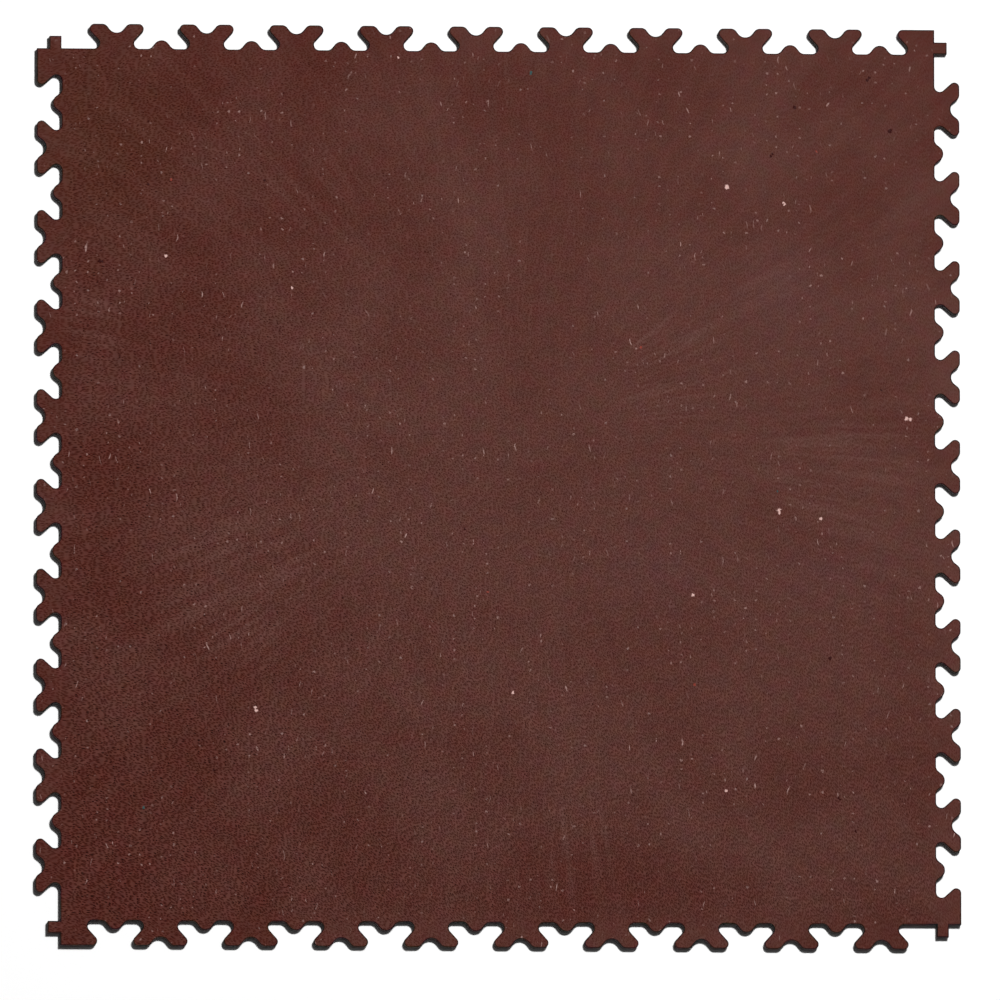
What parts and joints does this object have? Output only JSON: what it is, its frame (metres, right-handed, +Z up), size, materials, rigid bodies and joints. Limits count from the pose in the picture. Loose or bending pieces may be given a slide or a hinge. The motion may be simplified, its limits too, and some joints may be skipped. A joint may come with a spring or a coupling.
{
  "type": "interlocking pvc floor tile",
  "caption": "Square moulded PVC floor tile with dovetail teeth and nibbed sockets on every edge, so tiles push together into a loose-laid floor.",
  "frame": {"origin": "centre of the underside, on the floor that the tile lies on", "axes": "+Z up out of the wear surface, +X and +Y along the edges of the tile"},
  "size_m": [0.5138, 0.5138, 0.007],
  "materials": {
    "pvc": "fine leather-grained satin recycled PVC, red-brown with small flecks"
  },
  "bodies": {
    "root": {"floor_tile": "pvc"}
  },
  "joints": []
}
